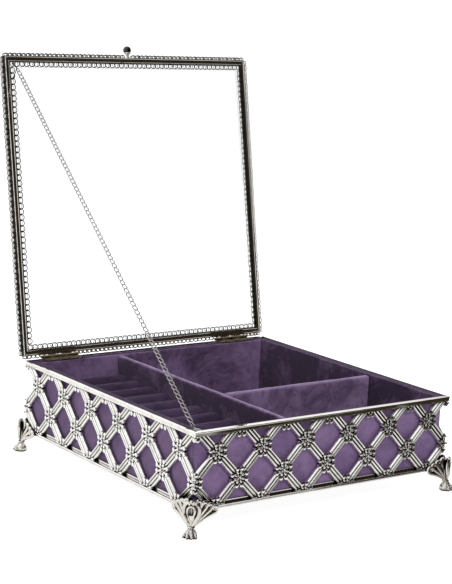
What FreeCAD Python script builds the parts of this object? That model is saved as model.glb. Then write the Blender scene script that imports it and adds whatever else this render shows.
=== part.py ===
import FreeCAD, Part
import math
import os

V = FreeCAD.Vector

# Vanity trinket box: a square velvet-lined box inside a cast lattice, on four claw feet,
# with a hinged glass lid that a chain holds open. All sizes are in millimetres.
# Every function below works about the box's plan centre, with the lid's front edge
# towards -Y. BOX_SHIFT moves the finished parts so that the origin is under the middle of
# the whole object with its lid open.

# Box
BOX = 240.0                 # outside width and depth over the lattice
HALF = BOX / 2
CELLS = 6                   # lattice cells along each side
CELL = BOX / CELLS
RIM_TOP = 75.5              # height of the top rim above the table
RIM_DROP = 4.8
RIM_PROUD = 0.8             # rim stands this far outside the lattice
RIM_WIDE = 3.6
RAIL_BOTTOM = 17.5
RAIL_TOP = 21.8
RAIL_PROUD = 1.2
WALL_OUT = 116.2            # half width over the velvet-covered walls
WALL_IN = 112.0             # half width inside them
WALL_BOTTOM = 18.0
WALL_TOP = 74.5
BOARD_TOP = 22.0
FELT = 0.7
FLOOR_PAD = 1.8
VELVET_ROUND = 1.4          # rounding of the velvet-covered boards' upper edges
FIT = 0.3                   # gap round the pieces laid inside

# Inside
DIVIDER = 5.0               # thickness of both dividers
DIVIDER_TOP = 74.0
LONG_X = -35.0              # centre of the long divider
CROSS_Y = -33.0             # centre of the cross divider
ROLLS = 10                  # ring rolls in the left compartment
ROLL_GAP = 0.4
ROLL_ROUND = 2.5            # rounding of a roll's ends
ROLL_TOP = 61.0
ROLL_SEAT = 40.0            # top of the foam block under the rolls

# Lattice
UPPER_ROW = 58.3            # height of the rosettes in the upper row
LOWER_ROW = 37.9
ROW_STEP = UPPER_ROW - LOWER_ROW
TOP_HALF_ROW = 75.5         # centres of the half rosettes under the rim
BOTTOM_HALF_ROW = 18.2      # and above the rail
LATTICE_BACK = HALF - 2.0
BAR = 7.4                   # width of a diagonal bar
BAR_START = 5.0             # bars begin this far from a rosette's centre
KNOB_REACH = 6.1            # distance of the small scroll knobs from the rosette's centre

# Lid, described closed
LEAN = 10.7                 # open lid leans this far back from upright
OPEN_ANGLE = 90.0 + LEAN
HINGE_Y = 123.2
HINGE_Z = 76.2
LID_HALF = 120.0            # half width
LID_FRONT = -121.4
LID_BACK = 120.8
LID_Z = 75.8                # inner face when closed
LID_THICK = 5.0
FLANGE = 4.2
WEB = 1.1
GLASS_Z = 76.8              # inner face of the glass
GLASS_EDGE = 2.6
GLASS_RISE = 1.5            # extra thickness inside the bevel
BEVEL = 11.4
LACE_PITCH = 4.57
LACE_TALL = 4.1
OUTER_PITCH = 4.17
OUTER_TALL = 3.1
LACE_THICK = 0.8
NEAR_LACE_Z = 76.9          # undersides of the two outer laces
FAR_LACE_Z = 79.2
KNOB_R = 3.4
KNOB_X = -1.5
KNOB_REACH_OUT = 7.2        # ball centre beyond the lid's front edge
KNOB_GAP = 3.5              # the outer laces stop this far from the knob's centre
LACE_FIT = 0.3              # gap between the inner laces at the corners

# Hinges
HINGE_X = 87.0
HINGE_LONG = 34.0
KNUCKLES = 5
KNUCKLE_GAP = 0.15
BARREL_R = 1.3
PIN_R = 0.65
PIN_CLEAR = 0.05
PIN_HEAD_R = 1.0
PIN_HEAD = 0.5              # thickness of a pin's head
PIN_PROUD = 0.2             # gap between a pin's head and the end knuckle
LEAF = 1.0
LID_LEAF = 0.8
HINGE_SCREW_IN = 2.6        # screw holes, behind the walls' inner face
HINGE_SCREW_STEP = 11.0
HINGE_SHANK_R = 0.7

# Chain
LINK_LONG = 5.5
LINK_WIDE = 3.4
LINK_WIRE = 0.7
LINK_PITCH = 4.0
CHAIN_X = -110.3            # chain's lower end on the box
CHAIN_Y = -102.5
CHAIN_Z = 74.7
LINK_SLACK = 0.4            # the outermost links' play in the eye and the bail
BAIL_X = -109.8             # chain's upper end, on the closed lid
BAIL_Y = -111.5
BAIL_Z = 75.4
BAIL_WIRE = 0.35

# Feet
FOOT_SPAN = 21.0            # how far a foot runs along each side
FOOT_PLATE = 1.8
FOOT_FLANGE = 1.5
FOOT_TOP = 26.0
ANKLE_Z = 8.2
SCROLL_X = 15.5             # scroll at the end of a side plate
SCROLL_Z = 19.1
SCROLL_R = 3.3
SHIELD = 2.4
PAW_R = 5.6
TOE_R = 1.9
TOE_HIGH = 1.5              # height of the toes' centres
PAW_OUT = 1.5               # paw's centre stands outside the lattice corner
SCREW_IN = 109.5            # foot screws, from the centre lines
SCREW_R = 1.5
SCREW_CLEAR = 0.05

LID_REACH = 175.4           # furthest point of the open lid behind the box's centre
FEET_REACH = HALF + PAW_OUT + PAW_R
BOX_SHIFT = -(LID_REACH - FEET_REACH) / 2


def box(low, high):
    """Block between two corners."""
    size = [h - l for l, h in zip(low, high)]
    return Part.makeBox(size[0], size[1], size[2], V(*low))


def fuse(shapes):
    """One solid from several that meet."""
    return shapes[0].multiFuse(shapes[1:]).removeSplitter()


def prism(points, direction):
    """Solid from a closed outline pushed along a vector."""
    wire = Part.makePolygon([V(*p) for p in points] + [V(*points[0])])
    return Part.Face(wire).extrude(V(*direction))


def turned(shape, degrees):
    """Copy turned about the box's vertical centre line."""
    copy = shape.copy()
    copy.rotate(V(0, 0, 0), V(0, 0, 1), degrees)
    return copy


def moved(shape, offset):
    """Copy moved by an offset."""
    copy = shape.copy()
    copy.translate(V(*offset))
    return copy


def rod(start, end, radius):
    """Round rod between two points."""
    line = V(*end) - V(*start)
    return Part.makeCylinder(radius, line.Length, V(*start), line)


def four_sides(name, front):
    """The front piece and its copies on the other three sides."""
    sides = ("front", "right", "back", "left")
    return {name + "_" + side: turned(front, 90 * i) for i, side in enumerate(sides)}


def mitred_bar(profile, half_length):
    """Bar along X on the front side, its outline given as (distance out, height), mitred."""
    points = [(-half_length, -out, z) for out, z in profile]
    bar = prism(points, (2 * half_length, 0, 0))
    low = min(z for _, z in profile) - 1
    high = max(z for _, z in profile) + 1
    far = half_length + 1
    wedge = prism([(0, 0, low), (-far, -far, low), (far, -far, low)], (0, 0, high - low))
    return bar.common(wedge)


# ---- velvet box ----

def walls():
    """Four velvet-covered wall boards, each with a rounded inner top edge."""
    long_wall = box((-WALL_OUT, -WALL_OUT, WALL_BOTTOM), (WALL_OUT, -WALL_IN, WALL_TOP))
    short_wall = box((-WALL_IN, -WALL_OUT, WALL_BOTTOM), (WALL_IN, -WALL_IN, WALL_TOP))
    parts = {}
    for side, angle, wall in (("front", 0, long_wall), ("back", 180, long_wall),
                              ("right", 90, short_wall), ("left", 270, short_wall)):
        edges = [e for e in wall.Edges if inner_top_edge(e)]
        parts["wall_" + side] = turned(wall.makeFillet(VELVET_ROUND, edges), angle)
    pilot_r = HINGE_SHANK_R + SCREW_CLEAR
    pilots = [Part.makeCylinder(pilot_r, 7.0, at - V(0, 0, 7)) for at in hinge_screw_places()]
    parts["wall_back"] = parts["wall_back"].cut(pilots)
    return parts


def hinge_screw_places():
    """Points on the back wall's top where the hinge screws go in."""
    return [V(x + step * HINGE_SCREW_STEP, WALL_IN + HINGE_SCREW_IN, WALL_TOP)
            for x in (-HINGE_X, HINGE_X) for step in (-1, 0, 1)]


def inner_top_edge(edge):
    """True for the edge along the top of a front wall's inner face."""
    ends = [v.Point for v in edge.Vertexes]
    return all(abs(p.z - WALL_TOP) < 0.01 and abs(p.y + WALL_IN) < 0.01 for p in ends)


def foot_screw_holes(bottom, top):
    """Cylinders that cut the clearance holes for the foot screws."""
    radius = SCREW_R + SCREW_CLEAR
    return [Part.makeCylinder(radius, top - bottom, V(sx * SCREW_IN, sy * SCREW_IN, bottom))
            for sx in (-1, 1) for sy in (-1, 1)]


def floor_boards():
    """Bottom board and the felt glued under it."""
    holes = foot_screw_holes(0, BOARD_TOP - 0.8)
    board = box((-WALL_IN, -WALL_IN, WALL_BOTTOM), (WALL_IN, WALL_IN, BOARD_TOP))
    felt = box((-WALL_OUT, -WALL_OUT, WALL_BOTTOM - FELT), (WALL_OUT, WALL_OUT, WALL_BOTTOM))
    return {"bottom_board": board.cut(holes), "base_felt": felt.cut(holes)}


def rounded_top(block, radius):
    """Block with its four upper edges rounded."""
    top = block.BoundBox.ZMax
    edges = [e for e in block.Edges if all(abs(v.Point.z - top) < 0.01 for v in e.Vertexes)]
    return block.makeFillet(radius, edges)


def dividers():
    """Long divider from front to back, and the cross divider on its right."""
    half = DIVIDER / 2
    long_one = box((LONG_X - half, -WALL_IN, BOARD_TOP), (LONG_X + half, WALL_IN, DIVIDER_TOP))
    cross = box((LONG_X + half, CROSS_Y - half, BOARD_TOP), (WALL_IN, CROSS_Y + half, DIVIDER_TOP))
    parts = {"long_divider": long_one, "cross_divider": cross}
    for name, board in parts.items():
        axis = 1 if name == "long_divider" else 0
        edges = [e for e in board.Edges if long_top_edge(e, axis)]
        parts[name] = board.makeFillet(VELVET_ROUND, edges)
    return parts


def long_top_edge(edge, axis):
    """True for a divider's upper edges that run along the given axis."""
    a, b = [v.Point for v in edge.Vertexes]
    level = abs(a.z - DIVIDER_TOP) < 0.01 and abs(b.z - DIVIDER_TOP) < 0.01
    return level and abs(a[axis] - b[axis]) > DIVIDER + 1


def floor_pads():
    """Thin velvet pads on the floors of the two right-hand compartments."""
    left = LONG_X + DIVIDER / 2 + FIT
    right = WALL_IN - FIT
    half = DIVIDER / 2 + FIT
    top = BOARD_TOP + FLOOR_PAD
    front = box((left, -right, BOARD_TOP), (right, CROSS_Y - half, top))
    back = box((left, CROSS_Y + half, BOARD_TOP), (right, right, top))
    return {"floor_pad_front": rounded_top(front, 1.0), "floor_pad_back": rounded_top(back, 1.0)}


def ring_rolls():
    """Velvet rolls side by side across the left compartment, on a foam block."""
    left = -WALL_IN + FIT
    right = LONG_X - DIVIDER / 2 - FIT
    pitch = 2 * WALL_IN / ROLLS
    radius = (pitch - ROLL_GAP) / 2
    centre_z = ROLL_TOP - radius
    seat = box((left, -WALL_IN + FIT, BOARD_TOP), (right, WALL_IN - FIT, ROLL_SEAT))
    parts = {"ring_roll_seat": seat}
    under = box((left - 1, -WALL_IN, 0), (right + 1, WALL_IN, ROLL_SEAT))
    for i in range(ROLLS):
        y = -WALL_IN + (i + 0.5) * pitch
        roll = rod((left, y, centre_z), (right, y, centre_z), radius)
        edges = [e for e in roll.Edges if e.Closed and e.Length > radius]
        parts["ring_roll_%02d" % (i + 1)] = roll.makeFillet(ROLL_ROUND, edges).cut(under)
    return parts


# ---- lattice ----

def rosette():
    """Cast flower at the origin, its back on y = 0 and its face towards -Y."""
    def stud(x, z, radius, height):
        return Part.makeCylinder(radius, height, V(x, 0, z), V(0, -1, 0))
    solids = [stud(0, 0, 5.6, 1.5), stud(0, 0, 2.7, 2.3)]
    solids.append(Part.makeSphere(1.5, V(0, -2.0, 0)))
    holes = []
    for i in range(4):
        angle = math.radians(90 * i)
        out = V(math.cos(angle), 0, math.sin(angle))
        side = V(-math.sin(angle), 0, math.cos(angle))
        for hand in (-1, 1):
            at = out * KNOB_REACH + side * (hand * 1.75)
            solids.append(stud(at.x, at.z, 1.95, 2.0))
            holes.append(stud(at.x, at.z, 0.65, 3))
        eye = out * 3.3 + side * 3.3
        holes.append(stud(eye.x, eye.z, 0.75, 3))
    return fuse(solids).cut(holes)


def ridged_bar(start, end):
    """Diagonal bar of three ridges between two points of the lattice's back plane."""
    a = V(start[0], -LATTICE_BACK, start[1])
    b = V(end[0], -LATTICE_BACK, end[1])
    along = (b - a).normalize()
    across = along.cross(V(0, -1, 0))
    half = BAR / 2
    valley = 1.2
    right = [(0.2 * half, 1.9), (0.4 * half, valley), (0.6 * half, 2.1),
             (0.8 * half, 2.1), (half, 1.5), (half, 0)]
    outline = [(-w, h) for w, h in reversed(right)] + right
    first = a + along * BAR_START
    points = [first + across * w + V(0, -h, 0) for w, h in outline]
    return prism([tuple(p) for p in points], tuple((b - along * BAR_START) - first))


def lattice():
    """Front lattice: rosettes joined by ridged diagonals, cut to the rim, rail and mitres."""
    flower = rosette()
    top_z = UPPER_ROW + ROW_STEP
    bottom_z = LOWER_ROW - ROW_STEP
    pieces = []
    for i in range(CELLS + 1):
        x = i * CELL - HALF
        flowers = [(x, LOWER_ROW), (x, TOP_HALF_ROW)]
        for step in (-CELL / 2, CELL / 2):
            if abs(x + step) > HALF:
                continue
            pieces.append(ridged_bar((x, LOWER_ROW), (x + step, UPPER_ROW)))
            pieces.append(ridged_bar((x, LOWER_ROW), (x + step, bottom_z)))
            pieces.append(ridged_bar((x, top_z), (x + step, UPPER_ROW)))
        if i < CELLS:
            flowers += [(x + CELL / 2, UPPER_ROW), (x + CELL / 2, BOTTOM_HALF_ROW)]
        pieces += [moved(flower, (fx, -LATTICE_BACK, fz)) for fx, fz in flowers]
    sheet = fuse(pieces)
    far = HALF + 3
    low = RAIL_TOP
    window = prism([(0, 0, low), (-far, -far, low), (far, -far, low)],
                   (0, 0, RIM_TOP - RIM_DROP - low))
    return four_sides("lattice", sheet.common(window))


def top_rims():
    """Moulded rim bars over the lattice, the back one notched for the hinge leaves."""
    out = HALF + RIM_PROUD
    low = RIM_TOP - RIM_DROP
    profile = [(out - RIM_WIDE, low), (out - 0.3, low), (out - 0.3, low + 0.9),
               (out - 0.8, low + 1.2), (out - 0.8, RIM_TOP - 1.6), (out, RIM_TOP - 1.2),
               (out, RIM_TOP - 0.3), (out - 0.3, RIM_TOP), (out - RIM_WIDE, RIM_TOP)]
    parts = four_sides("top_rim", mitred_bar(profile, out))
    reach = HINGE_LONG / 2 + 0.2
    notches = [box((x - reach, out - RIM_WIDE - 1, WALL_TOP), (x + reach, out + 1, RIM_TOP + 1))
               for x in (-HINGE_X, HINGE_X)]
    parts["top_rim_back"] = parts["top_rim_back"].cut(notches)
    return parts


def bottom_rails():
    """Stepped rail bars under the lattice."""
    out = HALF + RAIL_PROUD
    inner = WALL_OUT + 1.0
    profile = [(inner, RAIL_BOTTOM), (out, RAIL_BOTTOM), (out, RAIL_BOTTOM + 1.8),
               (out - 0.5, RAIL_BOTTOM + 2.2), (out - 1.4, RAIL_BOTTOM + 2.6),
               (out - 1.4, RAIL_TOP), (inner, RAIL_TOP)]
    return four_sides("bottom_rail", mitred_bar(profile, out))


# ---- feet ----

def curve(*points):
    """Line through two (x, z) points, or arc through three, in the XZ plane."""
    at = [V(x, 0, z) for x, z in points]
    return Part.makeLine(*at) if len(at) == 2 else Part.Arc(*at).toShape()


def foot_side_plate():
    """Leafy side plate of a foot, along +X from the corner at the origin, facing -Y."""
    low = SCROLL_Z - SCROLL_R
    start = (SCROLL_X, SCROLL_Z + SCROLL_R)
    ankle = (2.4, ANKLE_Z)
    leaf = [(0, FOOT_TOP), (5, FOOT_TOP - 0.8), (10.5, FOOT_TOP - 2.4), start]
    edges = [curve(a, ((a[0] + b[0]) / 2, (a[1] + b[1]) / 2 + 1.1), b)
             for a, b in zip(leaf, leaf[1:])]
    edges.append(curve(start, (FOOT_SPAN, SCROLL_Z), (SCROLL_X, low)))
    edges.append(curve((SCROLL_X, low), (11.5, low - 0.6)))
    edges.append(curve((11.5, low - 0.6), (6.0, 12.2), ankle))
    edges.append(curve(ankle, (0, ANKLE_Z)))
    edges.append(curve((0, ANKLE_Z), (0, FOOT_TOP)))
    plate = Part.Face(Part.Wire(edges)).extrude(V(0, -FOOT_PLATE, 0))
    holes = [Part.makeCylinder(radius, FOOT_PLATE + 1, V(x, 0.5, SCROLL_Z), V(0, -1, 0))
             for x, radius in ((SCROLL_X + 1.5, 1.3), (SCROLL_X - 4.0, 0.8))]
    return plate.cut(holes)


def foot_shield():
    """Shield across the corner, at the origin, facing (-1, -1)."""
    across = V(1, -1, 0).normalize()
    outline = [(-1.8, 9.5), (-4.2, 14.0), (-4.7, 19.0), (-3.8, 23.0), (0, 24.6), (3.8, 23.0),
               (4.7, 19.0), (4.2, 14.0), (1.8, 9.5)]
    points = [tuple(across * w + V(0, 0, z)) for w, z in outline]
    return prism(points, tuple(V(-1, -1, 0).normalize() * SHIELD))


def paw():
    """Claw paw on the ground at the origin, toes towards (-1, -1), with its collared ankle."""
    profile = [(0, 0), (4.9, 0), (5.2, 0.9), (4.6, 3.2), (3.3, 5.4), (2.5, 7.0), (3.1, 7.8),
               (3.1, 8.6), (2.3, 9.4), (2.1, 12.5), (0, 12.5)]
    outline = Part.makePolygon([V(r, 0, z) for r, z in profile + profile[:1]])
    solids = [Part.Face(outline).revolve(V(0, 0, 0), V(0, 0, 1), 360)]
    reach = PAW_R - TOE_R
    for i in range(4):
        angle = math.radians(225 + (i - 1.5) * 38)
        toe = V(reach * math.cos(angle), reach * math.sin(angle), TOE_HIGH)
        solids.append(Part.makeSphere(TOE_R, toe))
    above_ground = box((-PAW_R, -PAW_R, 0), (PAW_R, PAW_R, FOOT_TOP))
    return fuse(solids).common(above_ground)


def foot_flange(corner):
    """Flange under the felt, with the screw hole, at the front left corner."""
    top = WALL_BOTTOM - FELT
    reach = SCREW_IN - 6
    outline = [(-corner, -corner), (-reach, -corner), (-reach, -reach - 3), (-reach - 3, -reach),
               (-corner, -reach)]
    points = [(x, y, top - FOOT_FLANGE) for x, y in outline]
    return prism(points, (0, 0, FOOT_FLANGE)).cut(foot_screw_holes(0, FOOT_TOP))


def feet():
    """Four corner feet: two side plates, a shield with its drop, a flange and a paw."""
    corner = HALF + RAIL_PROUD + 0.1
    outer = corner + FOOT_PLATE
    diagonal = V(1, -1, 0).normalize()
    front = moved(foot_side_plate(), (-corner, -corner, 0))
    other = front.mirror(V(0, 0, 0), diagonal)
    post = box((-outer, -outer, ANKLE_Z), (-corner, -corner, FOOT_TOP))
    shield = moved(foot_shield(), (-corner - 0.4, -corner - 0.4, 0))
    paw_at = -HALF - PAW_OUT
    claw = moved(paw(), (paw_at, paw_at, 0))
    bracket = Part.makeCone(2.2, 4.5, 8, V(paw_at + 2.2, paw_at + 2.2, 8.8))
    foot = fuse([front, other, post, shield, foot_flange(corner), bracket, claw])
    drop = Part.makeCone(0.6, 2.3, 6.5, V(-corner - 1.4, -corner - 1.4, 13.5))
    foot = foot.cut(drop)
    names = ("front_left", "front_right", "back_right", "back_left")
    return {"foot_" + name: turned(foot, 90 * i) for i, name in enumerate(names)}


def foot_screws():
    """Four screws, as one group, up through the feet into the bottom board."""
    seat = WALL_BOTTOM - FELT - FOOT_FLANGE
    solids = []
    for sx in (-1, 1):
        for sy in (-1, 1):
            at = V(sx * SCREW_IN, sy * SCREW_IN, seat)
            head = Part.makeCone(2.0, 2.9, 1.3, at - V(0, 0, 1.3))
            slot = box((at.x - 3, at.y - 0.3, seat - 1.4), (at.x + 3, at.y + 0.3, seat - 0.8))
            shank = Part.makeCylinder(SCREW_R, 5.0, at)
            solids.append(fuse([head.cut(slot), shank]))
    return {"foot_screws": Part.makeCompound(solids)}


# ---- lid, modelled closed and then opened ----

def opened(shape):
    """Copy of a lid piece turned from closed to open about the hinge pins."""
    copy = shape.copy()
    copy.rotate(V(0, HINGE_Y, HINGE_Z), V(1, 0, 0), -OPEN_ANGLE)
    return copy


def lid_bar(start, length, direction, inward):
    """Mitred channel bar from a lid corner; inward points to the lid's middle."""
    top = LID_Z + LID_THICK
    groove = GLASS_Z + GLASS_EDGE
    profile = [(0, LID_Z + 0.9), (1.5, LID_Z), (FLANGE, LID_Z), (FLANGE, GLASS_Z),
               (WEB, GLASS_Z), (WEB, groove), (FLANGE, groove), (FLANGE, top),
               (1.5, top), (0, top - 0.9)]
    points = [start + inward * w + V(0, 0, z - LID_Z) for w, z in profile]
    bar = prism([tuple(p) for p in points], tuple(direction * length))
    middle = start + direction * (length / 2)
    apex = middle + inward * (length / 2)
    end = start + direction * length
    wedge = prism([tuple(p - V(0, 0, 1)) for p in (start, end, apex)], (0, 0, LID_THICK + 2))
    return bar.common(wedge)


def lid_frame():
    """Four mitred channel bars that hold the glass."""
    wide = 2 * LID_HALF
    deep = LID_BACK - LID_FRONT
    x_axis = V(1, 0, 0)
    y_axis = V(0, 1, 0)
    front_left = V(-LID_HALF, LID_FRONT, LID_Z)
    back_left = V(-LID_HALF, LID_BACK, LID_Z)
    front_right = V(LID_HALF, LID_FRONT, LID_Z)
    return {"lid_rail_front": lid_bar(front_left, wide, x_axis, y_axis),
            "lid_rail_back": lid_bar(back_left, wide, x_axis, y_axis * -1),
            "lid_rail_left": lid_bar(front_left, deep, y_axis, x_axis),
            "lid_rail_right": lid_bar(front_right, deep, y_axis, x_axis * -1)}


def lid_glass():
    """Glass plate with a wide bevel all round its outer face."""
    edge = WEB + 0.1
    low = (-LID_HALF + edge, LID_FRONT + edge)
    high = (LID_HALF - edge, LID_BACK - edge)
    slab = box((low[0], low[1], GLASS_Z), (high[0], high[1], GLASS_Z + GLASS_EDGE))
    start = FLANGE + 0.3 - edge
    wires = []
    for inset, z in ((start, 0), (start + BEVEL, GLASS_RISE)):
        a = (low[0] + inset, low[1] + inset)
        b = (high[0] - inset, high[1] - inset)
        level = GLASS_Z + GLASS_EDGE + z
        corners = [V(a[0], a[1], level), V(b[0], a[1], level), V(b[0], b[1], level),
                   V(a[0], b[1], level)]
        wires.append(Part.makePolygon(corners + corners[:1]))
    return fuse([slab, Part.makeLoft(wires, True, True)])


def lace_strip(length, pitch, tall, thick):
    """Scalloped wire lace along +X from the origin, its loops towards +Y."""
    count = round(length / pitch)
    step = length / count
    base = tall - step / 2
    edges = [Part.makeLine(V(0, base, 0), V(0, 0, 0)), Part.makeLine(V(0, 0, 0), V(length, 0, 0)),
             Part.makeLine(V(length, 0, 0), V(length, base, 0))]
    for i in reversed(range(count)):
        mid = V((i + 0.5) * step, tall, 0)
        edges.append(Part.Arc(V((i + 1) * step, base, 0), mid, V(i * step, base, 0)).toShape())
    strip = Part.Face(Part.Wire(edges)).extrude(V(0, 0, thick))
    holes = [Part.makeCylinder(step * 0.28, thick + 2, V((i + 0.5) * step, base, -1))
             for i in range(count)]
    return strip.cut(holes)


def lace_frame(z, gap):
    """Lace on the inside of all four lid bars, as one group, at a given height."""
    inner = LID_HALF - FLANGE
    front = LID_FRONT + FLANGE
    back = LID_BACK - FLANGE
    wide = 2 * inner
    deep = back - front - 2 * (LACE_TALL + gap)
    x_lace = lace_strip(wide, LACE_PITCH, LACE_TALL, LACE_THICK)
    y_lace = lace_strip(deep, LACE_PITCH, LACE_TALL, LACE_THICK)
    y_lace.rotate(V(0, 0, 0), V(0, 0, 1), 90)
    left = moved(y_lace.mirror(V(0, 0, 0), V(1, 0, 0)), (-inner, front + LACE_TALL + gap, z))
    right = moved(y_lace, (inner, front + LACE_TALL + gap, z))
    near = moved(x_lace, (-inner, front, z))
    far = moved(x_lace.mirror(V(0, 0, 0), V(0, 1, 0)), (-inner, back, z))
    return Part.makeCompound([near, far, left, right])


def outer_lace():
    """Two laces round the lid's edge, clear of the knob; the near one stops at the hinges."""
    hinge_end = HINGE_X + HINGE_LONG / 2 + 1
    free = HINGE_X - HINGE_LONG / 2 - 1
    deep = LID_BACK - LID_FRONT
    side = lace_strip(deep, OUTER_PITCH, OUTER_TALL, LACE_THICK)
    side.rotate(V(0, 0, 0), V(0, 0, 1), 90)
    mirrored = side.mirror(V(0, 0, 0), V(1, 0, 0))
    end = LID_HALF - LACE_FIT
    fronts = [(-end, KNOB_X - KNOB_GAP), (KNOB_X + KNOB_GAP, end)]
    backs = {NEAR_LACE_Z: [(-end, -hinge_end), (-free, free), (hinge_end, end)],
             FAR_LACE_Z: [(-end, end)]}
    solids = []
    for z, spans in backs.items():
        solids.append(moved(side, (-LID_HALF, LID_FRONT, z)))
        solids.append(moved(mirrored, (LID_HALF, LID_FRONT, z)))
        for start, stop in fronts:
            strip = lace_strip(stop - start, OUTER_PITCH, OUTER_TALL, LACE_THICK)
            solids.append(moved(strip.mirror(V(0, 0, 0), V(0, 1, 0)), (start, LID_FRONT, z)))
        for start, stop in spans:
            strip = lace_strip(stop - start, OUTER_PITCH, OUTER_TALL, LACE_THICK)
            solids.append(moved(strip, (start, LID_BACK, z)))
    return Part.makeCompound(solids)


def lid_knob():
    """Flared cup on the lid's front edge and the ball soldered into it."""
    z = LID_Z + LID_THICK / 2
    ball_y = LID_FRONT - KNOB_REACH_OUT
    cup_long = KNOB_REACH_OUT - KNOB_R * 0.75
    foot_disc = Part.makeCylinder(2.4, 1.0, V(KNOB_X, LID_FRONT, z), V(0, -1, 0))
    stem = Part.makeCone(1.3, 2.9, cup_long, V(KNOB_X, LID_FRONT, z), V(0, -1, 0))
    ball = Part.makeSphere(KNOB_R, V(KNOB_X, ball_y, z))
    return {"lid_knob_cup": fuse([foot_disc, stem]).cut(ball), "lid_knob_ball": ball}


def chain_bail():
    """V of wire on the lid's near corner that the chain hangs from."""
    apex = (BAIL_X, BAIL_Y, BAIL_Z)
    solids = [Part.makeSphere(BAIL_WIRE, V(*apex))]
    for x, y in ((-114.2, -103.2), (-113.6, -115.3)):
        solids.append(rod(apex, (x, y, BAIL_Z), BAIL_WIRE))
        solids.append(Part.makeCylinder(0.7, GLASS_Z - 0.9 - BAIL_Z, V(x, y, BAIL_Z)))
    return fuse(solids)


# ---- hinges ----

def knuckles(x, turns):
    """Barrel pieces of one hinge leaf, numbered along the hinge."""
    step = HINGE_LONG / KNUCKLES
    start = x - HINGE_LONG / 2
    solids = []
    for i in turns:
        left = start + i * step + KNUCKLE_GAP
        solids.append(rod((left, HINGE_Y, HINGE_Z),
                          (left + step - 2 * KNUCKLE_GAP, HINGE_Y, HINGE_Z), BARREL_R))
    return solids


def hinge(x, side):
    """One butt hinge: leaf on the box, leaf on the lid, and the pin."""
    step = HINGE_LONG / KNUCKLES
    bore = rod((x - HINGE_LONG, HINGE_Y, HINGE_Z), (x + HINGE_LONG, HINGE_Y, HINGE_Z),
               PIN_R + PIN_CLEAR)
    box_leaf = box((x - HINGE_LONG / 2, WALL_IN + 0.6, WALL_TOP),
                   (x + HINGE_LONG / 2, HINGE_Y, WALL_TOP + LEAF))
    lid_leaf = box((x - HINGE_LONG / 2, LID_BACK, LID_Z + 0.5),
                   (x + HINGE_LONG / 2, LID_BACK + LID_LEAF, FAR_LACE_Z - 0.2))
    box_solids = [box_leaf] + knuckles(x, (0, 2, 4))
    lid_solids = [lid_leaf] + knuckles(x, (1, 3))
    for i in (1, 3):
        left = x - HINGE_LONG / 2 + i * step
        gap = box((left, HINGE_Y - BARREL_R - 0.3, 0), (left + step, HINGE_Y + 3, 200))
        box_solids[0] = box_solids[0].cut(gap)
        tongue_x = left + KNUCKLE_GAP
        lid_solids.append(box((tongue_x, LID_BACK, HINGE_Z - 0.2),
                              (tongue_x + step - 2 * KNUCKLE_GAP, HINGE_Y - 0.8, LID_Z + 1.4)))
    holes = [Part.makeCone(HINGE_SHANK_R + 0.1, 1.7, LEAF, at) for at in hinge_screw_places()]
    reach = HINGE_LONG / 2 + PIN_PROUD
    pin = rod((x - reach, HINGE_Y, HINGE_Z), (x + reach, HINGE_Y, HINGE_Z), PIN_R)
    heads = [Part.makeCylinder(PIN_HEAD_R, PIN_HEAD, V(start, HINGE_Y, HINGE_Z), V(1, 0, 0))
             for start in (x - reach - PIN_HEAD, x + reach)]
    return {"hinge_box_leaf_" + side: fuse(box_solids).cut([bore] + holes),
            "hinge_pin_" + side: fuse([pin] + heads),
            "hinge_lid_leaf_" + side: opened(fuse(lid_solids).cut(bore))}


def hinge_screws():
    """Countersunk screws through both box leaves, as one group."""
    solids = []
    for at in hinge_screw_places():
        head = Part.makeCone(HINGE_SHANK_R, 1.6, LEAF - 0.1, at)
        shank = Part.makeCylinder(HINGE_SHANK_R, 6.0, at - V(0, 0, 6))
        slot = box((at.x - 2, at.y - 0.2, WALL_TOP + 0.5), (at.x + 2, at.y + 0.2, WALL_TOP + 2))
        solids.append(fuse([head, shank]).cut(slot))
    return {"hinge_screws": Part.makeCompound(solids)}


# ---- chain ----

def link():
    """Oval link at the origin, long along X, its flat face along Z."""
    def slot_shape(wide, long_size):
        half = (long_size - wide) / 2
        body = box((-half, -wide / 2, -LINK_WIRE / 2), (half, wide / 2, LINK_WIRE / 2))
        ends = [Part.makeCylinder(wide / 2, LINK_WIRE, V(x, 0, -LINK_WIRE / 2)) for x in (-half, half)]
        return body.multiFuse(ends).removeSplitter()
    hole = slot_shape(LINK_WIDE - 2 * LINK_WIRE, LINK_LONG - 2 * LINK_WIRE)
    return slot_shape(LINK_WIDE, LINK_LONG).cut(hole)


def chain_halves():
    """Taut chain from the box's eye to the open lid's bail, as two halves of loose links."""
    low = V(CHAIN_X, CHAIN_Y, CHAIN_Z)
    bail = opened(Part.Vertex(V(BAIL_X, BAIL_Y, BAIL_Z))).Point
    line = bail - low
    direction = V(line).normalize()
    inner_half = LINK_LONG / 2 - LINK_WIRE
    first = inner_half - 0.75
    last = line.Length - inner_half + LINK_SLACK
    count = 2 * round((last - first) / LINK_PITCH / 2)
    step = (last - first) / (count - 1)
    upright = FreeCAD.Rotation(V(1, 0, 0), direction, V(0, 0, 1), "XZY")
    shape = link()
    solids = []
    for i in range(count):
        roll = FreeCAD.Rotation(V(1, 0, 0), 90 * (i % 2))
        at = low + direction * (first + i * step)
        copy = shape.copy()
        copy.Placement = FreeCAD.Placement(at, upright.multiply(roll))
        solids.append(copy)
    fold = count // 2 + round((BAIL_Y - CHAIN_Y) / 2 / LINK_PITCH)
    return {"chain_lower": Part.makeCompound(solids[:fold]),
            "chain_upper": Part.makeCompound(solids[fold:])}


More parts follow.
